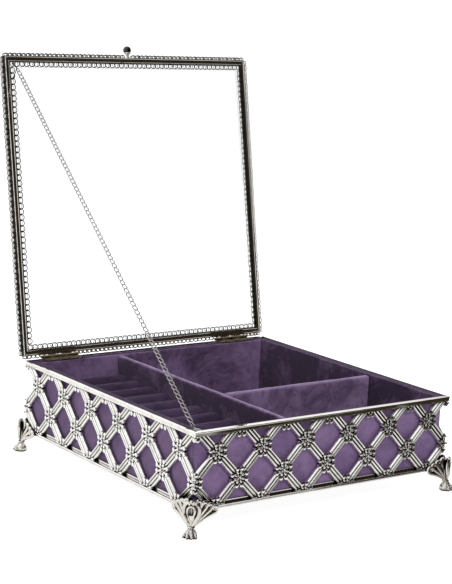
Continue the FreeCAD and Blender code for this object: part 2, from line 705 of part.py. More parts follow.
def chain_eye():
    """Thin tab on the box's near corner with the eye for the chain's lower end."""
    eye_y = CHAIN_Y - 1.5
    thick = 0.4
    ring = Part.makeCylinder(2.0, thick, V(CHAIN_X, eye_y, WALL_TOP))
    hole = Part.makeCylinder(1.05, 4, V(CHAIN_X, eye_y, WALL_TOP - 1))
    edge = HALF + RIM_PROUD - RIM_WIDE
    arm = prism([(-edge, -edge + 2.0, WALL_TOP), (-edge, -edge + 8.0, WALL_TOP),
                 (CHAIN_X - 1.9, eye_y + 0.6, WALL_TOP), (CHAIN_X + 1.0, eye_y - 1.7, WALL_TOP),
                 (-edge + 3.0, -edge + 1.0, WALL_TOP)], (0, 0, thick))
    return {"chain_eye": fuse([ring, arm]).cut(hole)}


def build():
    """Every sub-part by name, about the box's plan centre."""
    parts = {}
    for group in (walls(), floor_boards(), dividers(), floor_pads(), ring_rolls(), lattice(),
                  top_rims(), bottom_rails(), feet(), foot_screws(), hinge_screws(),
                  hinge(-HINGE_X, "left"), hinge(HINGE_X, "right"), chain_eye(), chain_halves()):
        parts.update(group)
    lid = lid_frame()
    lid["lid_glass"] = lid_glass()
    lid["lid_lace_inner"] = lace_frame(GLASS_Z - 0.1 - LACE_THICK, LACE_FIT)
    lid["lid_lace_upper"] = lace_frame(LID_Z + LID_THICK - LACE_THICK, LACE_FIT)
    lid["lid_lace_outer"] = outer_lace()
    lid["chain_bail"] = chain_bail()
    lid.update(lid_knob())
    parts.update({name: opened(shape) for name, shape in lid.items()})
    return parts


def main():
    os.makedirs("parts", exist_ok=True)
    for name, shape in build().items():
        moved(shape, (0, BOX_SHIFT, 0)).exportStep("parts/" + name + ".step")


main()
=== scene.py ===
import math

import bmesh
import bpy
from mathutils import Matrix, Quaternion, Vector, noise


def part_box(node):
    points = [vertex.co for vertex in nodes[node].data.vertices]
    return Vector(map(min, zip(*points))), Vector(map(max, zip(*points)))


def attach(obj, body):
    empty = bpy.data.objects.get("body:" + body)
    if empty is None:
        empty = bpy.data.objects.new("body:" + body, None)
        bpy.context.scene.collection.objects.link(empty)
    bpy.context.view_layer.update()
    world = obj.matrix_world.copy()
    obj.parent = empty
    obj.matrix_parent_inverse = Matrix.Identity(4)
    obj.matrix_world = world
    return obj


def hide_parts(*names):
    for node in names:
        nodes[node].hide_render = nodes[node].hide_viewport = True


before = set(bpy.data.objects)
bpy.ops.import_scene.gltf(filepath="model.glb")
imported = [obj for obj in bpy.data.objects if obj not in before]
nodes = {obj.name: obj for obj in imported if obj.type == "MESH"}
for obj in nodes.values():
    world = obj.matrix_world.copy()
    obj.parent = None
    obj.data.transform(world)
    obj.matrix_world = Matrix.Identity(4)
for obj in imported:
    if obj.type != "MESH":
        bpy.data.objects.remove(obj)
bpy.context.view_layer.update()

# Lengths below are millimetres from the middle of the box's plan; MM turns them into the frame.
board_lo, board_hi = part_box("bottom_board")
MIDDLE = (board_lo + board_hi) / 2
MM = Matrix.Translation((MIDDLE.x, MIDDLE.y, 0)) @ Matrix.Scale(0.001, 4)


def local_box(name):
    """Lowest and highest corners of a CAD node, in millimetres from the box's middle."""
    lo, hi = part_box(name)
    return MM.inverted() @ lo, MM.inverted() @ hi


# ---- sizes that the lattice, lid and chain share with the CAD model ----

SIDES = ("front", "right", "back", "left")
HALF = 120.0
CELLS = 6
CELL = 2 * HALF / CELLS
UPPER_ROW = 58.3
LOWER_ROW = 37.9
ROW_STEP = UPPER_ROW - LOWER_ROW
UNDER_RIM = 75.5
OVER_RAIL = 18.2
LATTICE_BACK = 118.0
BAR = 7.4
BAR_START = 5.0
RIM_TOP = local_box("top_rim_front")[1].z
RIM_OUT = local_box("top_rim_front")[1].x
RIM_FACE = 71.8             # bottom of the rim's face
RIM_WIDE = {"front": 3.6, "right": 1.6, "left": 1.6}
RAIL_LOW, RAIL_TOP = (corner.z for corner in local_box("bottom_rail_front"))
RAIL_OUT = local_box("bottom_rail_front")[1].x
RAIL_LIP = 20.1             # the lattice stands on the rail's lip
WALL_TOP = local_box("wall_front")[1].z
WALL_IN = 112.0
WALL_MIDDLE = -sum(corner.y for corner in local_box("wall_front")) / 2
LIP_OUT = 119.3             # the velvet folds out over the side walls as far as this
LIP_ENDS = 3.5              # and stops this short of the corners
LIP_LOW = WALL_TOP - 1.4
LIP_TOP = WALL_TOP + 0.45
FLAT_CREASE = 18            # faces of a moulding that meet at more than this stay sharp

LID_HALF = 120.0
LID_FRONT = -121.4
LID_BACK = 120.8
LID_Z = 75.8
LID_THICK = 5.0
FLANGE = 4.2
GLASS_Z = 76.8
HINGE_Y = 123.2
HINGE_Z = 76.2
HINGE_X = 87.0
HINGE_LONG = 34.0
OPEN_ANGLE = 100.7
LACE_PITCH = 4.57
LACE_TALL = 4.5
OUTER_PITCH = 4.17
OUTER_TALL = 3.1
LACE_BENDS = 10
LACE_OVERLAP = 0.61         # half an arch's width in steps: over a half, arches cross
LACE_APART = 0.3            # gap between two laces that meet at a corner
INNER_WIRE = 0.40
UPPER_WIRE = 0.20
OUTER_WIRE = 0.38
NEAR_LACE_Z = 77.3          # middles of the two outer laces on the closed lid
FAR_LACE_Z = 79.6
KNOB_GAP = 3.5
KNOB_R = 3.4
KNOB_REACH = 7.2
KNOB_X = -1.5

LINKS = 88
LOWER_LINKS = 43
LINK_LONG = 5.5
LINK_WIDE = 3.4
LINK_WIRE = 0.88
LINK_TWIST = 42             # degrees that a link's end is twisted from its middle
LINK_SKEW = 16              # degrees that a link lies off the chain's line
CAD_LINK_WIRE = 0.7
LINK_SLACK = 0.4
EYE_WIRE = 0.75             # reach of the eye's wire past the chain's lower end
END_LINK = 0.7              # the links at the eye and the bail are slimmer by this
CHAIN_TURN = 48.0           # how far the flat of the chain is turned towards the box's left
CHAIN_EYE = Vector((-110.3, -102.5, 74.7))
CHAIN_BAIL = Vector((-109.8, -111.5, 75.4))
BAIL_FEET = ((-114.2, -103.2), (-113.6, -115.3))

CORNER = 121.3              # outer faces of the rails' corners, where the feet begin
PAW = 121.5
ROLLS = 10
CLOTH_SCALE = 10            # the cloth is simulated this many times larger than life
CLOTH_STEPS = 20

HINGE_AXIS = Vector((0, HINGE_Y, HINGE_Z))
OPENED = (Matrix.Translation(HINGE_AXIS) @ Matrix.Rotation(math.radians(-OPEN_ANGLE), 4, "X")
          @ Matrix.Translation(-HINGE_AXIS))


UP = Vector((0, 0, 1))
QUARTER_TURN = Matrix.Rotation(math.pi / 2, 4, "Z")
STAND_UP = Matrix(((1, 0, 0, 0), (0, 0, -1, 0), (0, 1, 0, 0), (0, 0, 0, 1)))   # from flat to facing -Y


# ---- mesh helpers, all in millimetres ----

class Shape:
    """Vertices and faces gathered for one piece."""

    def __init__(self):
        self.verts = []
        self.faces = []

    def add(self, other, matrix=None):
        start = len(self.verts)
        moved = other.verts if matrix is None else [matrix @ v for v in other.verts]
        self.verts += moved
        flip = matrix is not None and matrix.to_3x3().determinant() < 0
        for face in other.faces:
            ids = [start + i for i in face]
            self.faces.append(ids[::-1] if flip else ids)
        return self

    def mesh(self, name):
        data = bpy.data.meshes.new(name)
        data.from_pydata([MM @ v for v in self.verts], [], self.faces)
        data.update()
        return data

    def piece(self, name, body, slot, material, replaces=(), crease=40):
        """Object of this shape that rides on a body and stands for the CAD nodes given."""
        data = self.mesh(name)
        data.materials.append(material)
        made = bpy.data.objects.new(name, data)
        bpy.context.scene.collection.objects.link(made)
        data.shade_smooth()
        data.set_sharp_from_angle(angle=math.radians(crease))
        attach(made, body)
        if replaces:
            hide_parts(*replaces)
        return made


def skin(rings, closed=False):
    """Surface through rings of points, capped at both ends unless closed."""
    shape = Shape()
    count = len(rings[0])
    for ring in rings:
        shape.verts += ring
    total = len(rings)
    for i in range(total if closed else total - 1):
        a = i * count
        b = (i + 1) % total * count
        for j in range(count):
            k = (j + 1) % count
            shape.faces.append([a + j, a + k, b + k, b + j])
    if not closed:
        shape.faces.append(list(range(count))[::-1])
        shape.faces.append([(total - 1) * count + j for j in range(count)])
    return shape


def tube(path, radius, up, sides=8, closed=False, flat=1.0):
    """Wire along a path; radius may be a function of 0..1, and flat thins it along up."""
    total = len(path)
    rings = []
    for i, at in enumerate(path):
        before = path[i - 1] if closed or i else at
        after = path[(i + 1) % total] if closed or i < total - 1 else at
        along = (after - before).normalized()
        side = along.cross(up).normalized()
        lift = side.cross(along)
        r = radius(i / (total - 1)) if callable(radius) else radius
        ring = []
        for j in range(sides):
            turn = 2 * math.pi * j / sides
            ring.append(at + side * (r * math.cos(turn)) + lift * (r * flat * math.sin(turn)))
        rings.append(ring)
    return skin(rings, closed)


def circle(radius, height, count):
    """Points of a level circle about Z."""
    turns = [2 * math.pi * j / count for j in range(count)]
    return [Vector((radius * math.cos(t), radius * math.sin(t), height)) for t in turns]


def revolve(profile, sides=16):
    """Solid of (radius, height) points turned about Z."""
    return skin([circle(max(r, 0.01), z, sides) for r, z in profile])


def dome(radii, sides=12, rows=5, low=-0.5):
    """Ellipsoid with the given half sizes, from a little under its equator up."""
    profile = []
    for i in range(rows + 1):
        turn = math.asin(low) + (math.pi / 2 - math.asin(low)) * i / rows
        profile.append((math.cos(turn), math.sin(turn)))
    return Shape().add(revolve(profile, sides), Matrix.Diagonal((*radii, 1)))


def spline(points, steps=5):
    """Smooth path through points (Catmull-Rom)."""
    path = []
    padded = [points[0]] + list(points) + [points[-1]]
    for i in range(1, len(padded) - 2):
        a, b, c, d = [Vector(p) for p in padded[i - 1:i + 3]]
        for j in range(steps):
            t = j / steps
            path.append(0.5 * (2 * b + (c - a) * t + (2 * a - 5 * b + 4 * c - d) * t * t
                               + (3 * b - a - 3 * c + d) * t ** 3))
    path.append(Vector(points[-1]))
    return path


def stations(lo, hi, radius, step):
    """Places along one side of a rounded block, closer together at its edges."""
    inner = max(1, round((hi - lo - 2 * radius) / step))
    near = [lo + radius * e for e in (0, 0.25, 0.6)]
    middle = [lo + radius + (hi - lo - 2 * radius) * i / inner for i in range(inner + 1)]
    far = [hi - radius * e for e in (0.6, 0.25, 0)]
    return near + middle + far


def rounded_block(lo, hi, radius, step, push=None):
    """Block with rounded edges; push(point, normal) may move each point of its surface."""
    axes = [stations(lo[k], hi[k], radius, step) for k in range(3)]
    ends = [len(axis) - 1 for axis in axes]
    shape = Shape()
    known = {}

    def vertex(key):
        if key not in known:
            point = Vector([axes[k][key[k]] for k in range(3)])
            core = Vector([min(max(point[k], lo[k] + radius), hi[k] - radius) for k in range(3)])
            normal = (point - core).normalized()
            point = core + normal * radius
            known[key] = len(shape.verts)
            shape.verts.append(push(point, normal) if push else point)
        return known[key]

    for axis in range(3):
        u, v = (axis + 1) % 3, (axis + 2) % 3
        for end in (0, ends[axis]):
            for i in range(ends[u]):
                for j in range(ends[v]):
                    face = []
                    for di, dj in ((0, 0), (1, 0), (1, 1), (0, 1)):
                        key = [0, 0, 0]
                        key[axis], key[u], key[v] = end, i + di, j + dj
                        face.append(vertex(tuple(key)))
                    shape.faces.append(face if end else face[::-1])
    return shape


def turned(shape, quarter):
    """Copy of a shape turned about the box's middle by quarter turns."""
    return Shape().add(shape, Matrix.Rotation(math.radians(90 * quarter), 4, "Z"))


# ---- materials ----

def node(tree, kind, inputs=(), **settings):
    """Adds a shader node; an input is a number, a colour or another node's output."""
    made = tree.nodes.new("ShaderNode" + kind)
    for key, value in settings.items():
        setattr(made, key, value)
    for key, value in dict(inputs).items():
        if isinstance(value, bpy.types.NodeSocket):
            tree.links.new(value, made.inputs[key])
        else:
            made.inputs[key].default_value = value
    return made


def new_material(name):
    material = bpy.data.materials.new(name)
    material.use_nodes = True
    tree = material.node_tree
    return material, tree, tree.nodes["Principled BSDF"]


def noise_of(tree, place, scale, detail=3.0, rough=0.55):
    return node(tree, "TexNoise", {"Vector": place, "Scale": scale, "Detail": detail,
                                   "Roughness": rough}).outputs["Fac"]


def spread(tree, value, lo, hi, to_lo, to_hi):
    """Maps a value from one range to another, held at both ends."""
    return node(tree, "MapRange", {"Value": value, "From Min": lo, "From Max": hi,
                                   "To Min": to_lo, "To Max": to_hi}).outputs["Result"]


def blend_colours(tree, amount, a, b):
    made = node(tree, "Mix", data_type="RGBA")
    for socket, value in ((made.inputs["Factor"], amount), (made.inputs[6], a), (made.inputs[7], b)):
        if isinstance(value, bpy.types.NodeSocket):
            tree.links.new(value, socket)
        else:
            socket.default_value = value if isinstance(value, float) else (*value, 1)
    return made.outputs[2]


def metal(name, bright, dark, rough, hollow=0.0025, grain=0.06):
    """Plated metal with painted shade: its colour darkens towards the dark colour in its hollows and
    between parts, found by ambient occlusion, with faint blotches and a fine cast grain.
    """
    material, tree, shader = new_material(name)
    place = node(tree, "TexCoord").outputs["Object"]
    blotch = noise_of(tree, place, 120.0)
    fine = noise_of(tree, place, 1800.0, 2.0)
    # painted shade: ambient occlusion within the hollow distance picks out the hollows and the gaps
    # between parts
    ao_painted_shade = node(tree, "AmbientOcclusion", {"Distance": hollow}, samples=8).outputs["AO"]
    out_of_painted_shade = spread(tree, ao_painted_shade, 0.42, 0.80, 0.0, 1.0)
    # painted shade times faint blotches: 1 keeps the bright colour, 0 gives the dark painted-shade
    # colour
    painted_shade_and_blotches = node(tree, "Math", {0: out_of_painted_shade, 1: spread(tree, blotch, 0.25, 0.6, 0.8, 1.0)},
                operation="MULTIPLY").outputs[0]
    tree.links.new(blend_colours(tree, painted_shade_and_blotches, dark, bright), shader.inputs["Base Color"])
    tree.links.new(spread(tree, blotch, 0.3, 0.7, rough * 0.75, rough * 1.3),
                   shader.inputs["Roughness"])
    bump = node(tree, "Bump", {"Height": fine, "Strength": grain, "Distance": 0.0002})
    tree.links.new(bump.outputs["Normal"], shader.inputs["Normal"])
    shader.inputs["Metallic"].default_value = 1.0
    return material


def velvet(name, deep, light, crush=28.0, sheen=0.7, light_from=(0, 0, 0)):
    """Short-pile velvet: brushed patches, fine pile and pale sheen, with painted light and shade: faces
    turned along the given direction are painted lighter, faces turned against it darker.
    """
    material, tree, shader = new_material(name)
    place = node(tree, "TexCoord").outputs["Object"]
    bent = node(tree, "TexNoise", {"Vector": place, "Scale": crush * 0.6, "Detail": 2.0})
    warped = node(tree, "VectorMath", {0: bent.outputs["Color"], 1: (0.05, 0.05, 0.05)},
                  operation="MULTIPLY").outputs[0]
    shifted = node(tree, "VectorMath", {0: place, 1: warped}, operation="ADD").outputs[0]
    patches = noise_of(tree, shifted, crush, 6.0, 0.62)
    strokes = noise_of(tree, shifted, crush * 7, 4.0, 0.7)
    pile = noise_of(tree, place, 2600.0, 2.0)
    brushed = node(tree, "Math", {0: spread(tree, patches, 0.40, 0.62, 0.05, 0.7),
                                  1: spread(tree, strokes, 0.35, 0.65, -0.1, 0.3)},
                   operation="ADD").outputs[0]
    # painted light and shade: the colour lightens or darkens with the way each face turns
    normal = node(tree, "TexCoord").outputs["Normal"]
    painted_facing_light = node(tree, "VectorMath", {0: normal, 1: light_from}, operation="DOT_PRODUCT").outputs["Value"]
    patches_and_painted_light = node(tree, "Math", {0: brushed, 1: painted_facing_light}, operation="ADD", use_clamp=True).outputs[0]
    speck = spread(tree, pile, 0.2, 0.8, 0.82, 1.15)
    colour = blend_colours(tree, patches_and_painted_light, deep, light)
    shade = node(tree, "VectorMath", {0: colour, "Scale": speck}, operation="SCALE").outputs[0]
    tree.links.new(shade, shader.inputs["Base Color"])
    tree.links.new(spread(tree, strokes, 0.3, 0.7, 0.72, 0.95), shader.inputs["Roughness"])
    height = node(tree, "Math", {0: pile, 1: strokes}, operation="ADD").outputs[0]
    bump = node(tree, "Bump", {"Height": height, "Strength": 0.35, "Distance": 0.0004})
    tree.links.new(bump.outputs["Normal"], shader.inputs["Normal"])
    shader.inputs["Sheen Weight"].default_value = sheen
    shader.inputs["Sheen Roughness"].default_value = 0.38
    shader.inputs["Sheen Tint"].default_value = (0.82, 0.66, 0.92, 1)
    shader.inputs["Specular IOR Level"].default_value = 0.15
    return material


def wood_board(name):
    """Fibre board with a faint grain."""
    material, tree, shader = new_material(name)
    place = node(tree, "TexCoord").outputs["Object"]
    stretched = node(tree, "Mapping", {"Vector": place, "Scale": (1.0, 14.0, 14.0)}).outputs[0]
    grain = noise_of(tree, stretched, 60.0, 6.0)
    colour = blend_colours(tree, spread(tree, grain, 0.3, 0.7, 0.0, 1.0),
                           (0.16, 0.09, 0.045), (0.30, 0.19, 0.10))
    tree.links.new(colour, shader.inputs["Base Color"])
    tree.links.new(spread(tree, grain, 0.3, 0.7, 0.6, 0.85), shader.inputs["Roughness"])
    return material


def felt_cloth(name):
    """Dense dark felt with matted fibres."""
    material, tree, shader = new_material(name)
    place = node(tree, "TexCoord").outputs["Object"]
    fibres = noise_of(tree, place, 900.0, 6.0, 0.8)
    colour = blend_colours(tree, fibres, (0.010, 0.009, 0.012), (0.05, 0.045, 0.055))
    tree.links.new(colour, shader.inputs["Base Color"])
    tree.links.new(spread(tree, fibres, 0.2, 0.8, 0.85, 1.0), shader.inputs["Roughness"])
    bump = node(tree, "Bump", {"Height": fibres, "Strength": 0.5, "Distance": 0.0003})
    tree.links.new(bump.outputs["Normal"], shader.inputs["Normal"])
    shader.inputs["Sheen Weight"].default_value = 0.3
    return material


def clear_glass(name):
    """Clear glass that lets light fall through, with a slight green in its edges."""
    material, tree, shader = new_material(name)
    place = node(tree, "TexCoord").outputs["Object"]
    wave = noise_of(tree, place, 9.0, 1.0)
    colour = blend_colours(tree, wave, (0.975, 0.99, 0.985), (0.99, 0.998, 0.995))
    tree.links.new(colour, shader.inputs["Base Color"])
    shader.inputs["Roughness"].default_value = 0.0
    shader.inputs["IOR"].default_value = 1.45
    shader.inputs["Transmission Weight"].default_value = 1.0
    through = node(tree, "BsdfTransparent", {"Color": (0.96, 0.98, 0.97, 1)}).outputs[0]
    is_shadow = node(tree, "LightPath").outputs["Is Shadow Ray"]
    mixed = node(tree, "MixShader", {0: is_shadow, 1: shader.outputs[0], 2: through})
    tree.links.new(mixed.outputs[0], tree.nodes["Material Output"].inputs["Surface"])
    return material


# The second colour of each plated metal is painted shade, which metal() gives to its hollows and the
# gaps between its parts.
CAST = metal("cast_plate", (0.95, 0.94, 0.915), (0.035, 0.028, 0.018), 0.10, hollow=0.003)
FRAME = metal("plated_frame", (0.93, 0.915, 0.88), (0.03, 0.02, 0.012), 0.08, hollow=0.0025)
FEET = metal("cast_feet", (0.80, 0.77, 0.72), (0.018, 0.014, 0.009), 0.10, hollow=0.006)
RIM = metal("polished_rim", (0.93, 0.915, 0.88), (0.05, 0.035, 0.02), 0.05, hollow=0.0012, grain=0.0)
LID_METAL = metal("lid_channel", (0.66, 0.64, 0.60), (0.010, 0.008, 0.005), 0.06, hollow=0.0012,
                  grain=0.0)
CHROME = metal("chain_chrome", (0.42, 0.41, 0.40), (0.006, 0.006, 0.006), 0.12, hollow=0.0024)
# Painted reflection: plated_wire, edge_wire and pale_wire are one plated wire made dark, mid and pale,
# standing for the dark and white surroundings the laces mirror; the bail, eye tab and knob ball take
# the dark copy.
PAINTED_DARK_WIRE = metal("plated_wire", (0.075, 0.068, 0.060), (0.006, 0.005, 0.004), 0.16, hollow=0.0012)
EDGE_WIRE = metal("edge_wire", (0.21, 0.20, 0.18), (0.012, 0.010, 0.008), 0.16, hollow=0.001)
PAINTED_PALE_WIRE = metal("pale_wire", (0.60, 0.59, 0.57), (0.10, 0.09, 0.08), 0.16, hollow=0.0006)
BRASS = metal("aged_brass", (0.50, 0.42, 0.30), (0.06, 0.045, 0.03), 0.30, hollow=0.0012)
STEEL = metal("screws", (0.50, 0.49, 0.46), (0.06, 0.05, 0.04), 0.22, hollow=0.001)
# Painted shade: the inside, divider and lining velvets are darker copies of the wall velvet, for the
# inside of the box, its compartments, its rolls and pads and the walls' tops; they also paint faces
# lighter or darker by the way they face.
WALLS = velvet("velvet_walls", (0.110, 0.068, 0.148), (0.205, 0.135, 0.255), crush=22.0)
SHADED_INSIDE = velvet("velvet_inside_painted_shade", (0.028, 0.014, 0.038), (0.200, 0.130, 0.250), light_from=(0.45, -0.2, 0.3))
DIVIDERS = velvet("velvet_dividers", (0.034, 0.017, 0.045), (0.235, 0.160, 0.290),
                  light_from=(0.4, -0.3, 0.55))
SHADED_LINING = velvet("velvet_lining", (0.008, 0.004, 0.012), (0.044, 0.025, 0.058), crush=40.0,
                sheen=0.25, light_from=(0, -0.3, 0.15))
BOARD = wood_board("board")
FELT = felt_cloth("felt")
GLASS = clear_glass("clear_glass")


# ---- lattice walls ----

def ridged_bar(length):
    """Cast bar of three ridges along +X, rounded at both ends, standing on z = 0."""
    rows = []
    steps = 16
    across = 18
    for i in range(steps + 1):
        place = length * i / steps
        end = min(place, length - place)
        bite = max(0.0, 1 - end / 2.6)
        wide = BAR / 2 * math.sqrt(max(0.02, 1 - 0.85 * bite * bite))
        row = [Vector((place, -wide, 0))]
        for j in range(across + 1):
            u = -1 + 2 * j / across
            ridge = 0.5 + 0.5 * math.cos(3 * math.pi * u)
            side = min(1.0, (1 - abs(u)) / 0.16)
            height = (0.85 + 1.35 * ridge ** 0.8) * (0.35 + 0.65 * side) + 0.35 * (1 - abs(u))
            row.append(Vector((place, wide * u, height * (1 - 0.55 * bite * bite))))
        row.append(Vector((place, wide, 0)))
        rows.append(row)
    return skin(rows)


def rosette():
    """Cast flower facing +Z: four pairs of scroll knobs round a petalled, beaded middle."""
    shape = Shape()
    knob = revolve([(1.75, 0), (1.9, 1.2), (1.6, 2.1), (0.9, 2.5), (0, 2.6)], 12)
    petal = dome((2.0, 1.35, 2.1), 12, 5)
    bead = dome((0.85, 0.85, 1.1), 10, 4)
    for i in range(4):
        quarter = Matrix.Rotation(math.pi / 2 * i, 4, "Z")
        for hand in (-1, 1):
            shape.add(knob, quarter @ Matrix.Translation((6.2, hand * 2.1, 0)))
            tilt = Matrix.Rotation(hand * 0.35, 4, "Z")
            shape.add(petal, quarter @ Matrix.Translation((3.3, hand * 1.5, 0.5)) @ tilt)
        shape.add(dome((1.2, 0.45, 3.0), 8, 4), quarter @ Matrix.Translation((5.2, 0, 0)))
        diagonal = quarter @ Matrix.Rotation(math.pi / 4, 4, "Z")
        shape.add(bead, diagonal @ Matrix.Translation((5.6, 0, 0.4)))
        shape.add(bead, diagonal @ Matrix.Translation((1.55, 0, 1.5)))
    shape.add(revolve([(2.0, 0), (2.0, 1.2), (1.2, 1.8), (0, 1.9)], 12))
    shape.add(dome((1.0, 1.0, 1.1), 12, 5), Matrix.Translation((0, 0, 2.5)))
    return shape


def on_front(x, z, turn=0.0):
    """Matrix that stands a flat shape on the front lattice's back plane."""
    return Matrix.Translation((x, -LATTICE_BACK, z)) @ STAND_UP @ Matrix.Rotation(turn, 4, "Z")


def front_lattice():
    """Front wall's rosettes and bars, cut to the rim, the rail and the corner mitres."""
    slant = math.hypot(CELL / 2, ROW_STEP)
    bar = ridged_bar(slant - 2 * BAR_START)
    flower = rosette()
    whole = Shape()

    def join(x, z, x2, z2):
        turn = math.atan2(z2 - z, x2 - x)
        whole.add(bar, on_front(x, z, turn) @ Matrix.Translation((BAR_START, 0, 0)))

    for i in range(CELLS + 1):
        x = i * CELL - HALF
        flowers = [(x, LOWER_ROW), (x, UNDER_RIM)]
        for step in (-CELL / 2, CELL / 2):
            if abs(x + step) < HALF:
                join(x, LOWER_ROW, x + step, UPPER_ROW)
                join(x, LOWER_ROW, x + step, LOWER_ROW - ROW_STEP)
                join(x, UPPER_ROW + ROW_STEP, x + step, UPPER_ROW)
        if i < CELLS:
            flowers += [(x + CELL / 2, UPPER_ROW), (x + CELL / 2, OVER_RAIL)]
        for at in flowers:
            whole.add(flower, on_front(*at))
    return trimmed(whole)


def trimmed(shape):
    """Front lattice cut between rail and rim and along both corner mitres."""
    cuts = [((0, 0, RAIL_LIP), (0, 0, 1)), ((0, 0, RIM_FACE + 0.1), (0, 0, -1)),
            ((0, 0, 0), (1, -1, 0)), ((0, 0, 0), (-1, -1, 0))]
    mesh = bmesh.new()
    made = [mesh.verts.new(v) for v in shape.verts]
    for face in shape.faces:
        mesh.faces.new([made[i] for i in face])
    for at, keep in cuts:
        every = mesh.verts[:] + mesh.edges[:] + mesh.faces[:]
        cut = bmesh.ops.bisect_plane(mesh, geom=every, dist=1e-5, plane_co=at,
                                     plane_no=Vector(keep), clear_inner=True)
        edges = [g for g in cut["geom_cut"] if isinstance(g, bmesh.types.BMEdge)]
        bmesh.ops.holes_fill(mesh, edges=edges)
    mesh.verts.index_update()
    result = Shape()
    result.verts = [v.co.copy() for v in mesh.verts]
    result.faces = [[v.index for v in f.verts] for f in mesh.faces]
    mesh.free()
    return result


def build_lattices():
    front = front_lattice()
    for i, side in enumerate(SIDES):
        node_name = "lattice_" + side
        turned(front, i).piece("lattice_cast_" + side, "box", "cast_plate", CAST, [node_name])


# ---- mouldings ----

def moulded(lo, hi, profile, side):
    """One mitred side of a moulding round a rectangle, its outline given as (inward, height)."""
    corners = [(lo[0], lo[1], 1, 1), (hi[0], lo[1], -1, 1), (hi[0], hi[1], -1, -1),
               (lo[0], hi[1], 1, -1)]
    ends = corners[side], corners[(side + 1) % 4]
    return skin([[Vector((x + sx * w, y + sy * w, z)) for w, z in profile]
                 for x, y, sx, sy in ends])


def rim_profile(wide):
    """Rim's outline: two beads on a flat face, and a top as wide as the photo shows it."""
    top = RIM_TOP
    face = [(0.45, RIM_FACE), (0.12, RIM_FACE + 0.25), (0.12, RIM_FACE + 0.6),
            (0.45, RIM_FACE + 0.85), (0.45, top - 1.3), (0.1, top - 1.05), (0, top - 0.7),
            (0.12, top - 0.3), (0.5, top)]
    return face + [(wide, top), (wide, RIM_FACE)]


def rail_profile():
    """Rail's outline: two rounded steps, a slope up to the lattice's lip, and a flat inner wall."""
    low = RAIL_LOW
    return [(4.9, low), (0.3, low), (0.05, low + 0.25), (0, low + 0.9), (0.25, low + 1.1),
            (0.25, low + 1.25), (0, low + 1.45), (0.05, low + 2.1), (0.4, low + 2.4),
            (2.6, RAIL_LIP), (3.8, RAIL_LIP + 0.1), (3.8, RAIL_TOP), (4.9, RAIL_TOP)]


def channel_profile():
    """Lid bar's outline: beads along both edges of its underside, and a slot for the glass."""
    points = [(0, 0.8), (0.2, 0.3), (0.6, 0.05), (1.0, 0.15), (1.3, 0.5), (1.4, 0.55),
              (3.2, 0.55), (3.3, 0.3), (3.6, 0.05), (4.0, 0.15), (4.2, 1.0),
              (1.1, 1.0), (1.1, 3.6), (4.2, 3.6), (4.2, 4.6), (3.8, 5.0), (0.9, 5.0),
              (0.3, 4.7), (0, 4.2)]
    return [(inward, LID_Z + height) for inward, height in points]


def build_mouldings():
    """Rims, rails and lid bars; the back rim stays as the CAD model has it."""
    for i, side in enumerate(SIDES):
        if side in RIM_WIDE:
            rim = moulded((-RIM_OUT, -RIM_OUT), (RIM_OUT, RIM_OUT), rim_profile(RIM_WIDE[side]), i)
            rim.piece("rim_moulding_" + side, "box", "plated_frame", RIM, ["top_rim_" + side],
                      FLAT_CREASE)
        rail = moulded((-RAIL_OUT, -RAIL_OUT), (RAIL_OUT, RAIL_OUT), rail_profile(), i)
        rail.piece("rail_moulding_" + side, "box", "plated_frame", FRAME, ["bottom_rail_" + side],
                   FLAT_CREASE)
        bar = moulded((-LID_HALF, LID_FRONT), (LID_HALF, LID_BACK), channel_profile(), i)
        Shape().add(bar, OPENED).piece("lid_channel_" + side, "lid", "plated_frame", LID_METAL,
                                       ["lid_rail_" + side], FLAT_CREASE)


# ---- velvet-covered boards ----

def napped(amount, scale, seed):
    """Push that puffs a covered board unevenly, as padding under fabric does."""
    shift = Vector((seed * 13.7, seed * 7.1, seed * 3.3))

    def push(point, normal):
        return point + normal * (amount * noise.noise(point * scale + shift))
    return push


def build_boards():
    """Walls and the two dividers, with painted shade: each wall is darker on top and inside than behind
    the lattice, as its top faces take the dark lining velvet and its inner faces the darker inside
    velvet.
    """
    for seed, side in enumerate(SIDES):
        lo, hi = local_box("wall_" + side)
        block = rounded_block(lo, hi, 1.3, 6.0, napped(0.12, 0.06, seed))
        if side in ("left", "right"):
            near = (-LIP_OUT + LIP_ENDS, -LIP_OUT, LIP_LOW)
            far = (LIP_OUT - LIP_ENDS, -WALL_IN, LIP_TOP)
            lip = rounded_block(near, far, 0.8, 4.0, napped(0.05, 0.08, seed + 30))
            block.add(turned(lip, seed))
        board = block.piece("velvet_wall_" + side, "box", "velvet_walls", WALLS, ["wall_" + side])
        board.data.materials.append(SHADED_INSIDE)
        board.data.materials.append(SHADED_LINING)
        # painted shade: top faces get the lining velvet (slot 2), inner faces the inside velvet (slot
        # 1), outer faces keep the wall velvet
        for face in board.data.polygons:
            away = face.center - MIDDLE
            inward = max(abs(away.x), abs(away.y)) < WALL_MIDDLE / 1000
            face.material_index = 2 if face.normal.z > 0.95 else int(inward)
    for seed, name in enumerate(("long_divider", "cross_divider")):
        lo, hi = local_box(name)
        block = rounded_block(lo, hi, 1.9, 5.0, napped(0.3, 0.07, seed + 5))
        block.piece("velvet_" + name, "box", "velvet_dividers", DIVIDERS, [name])


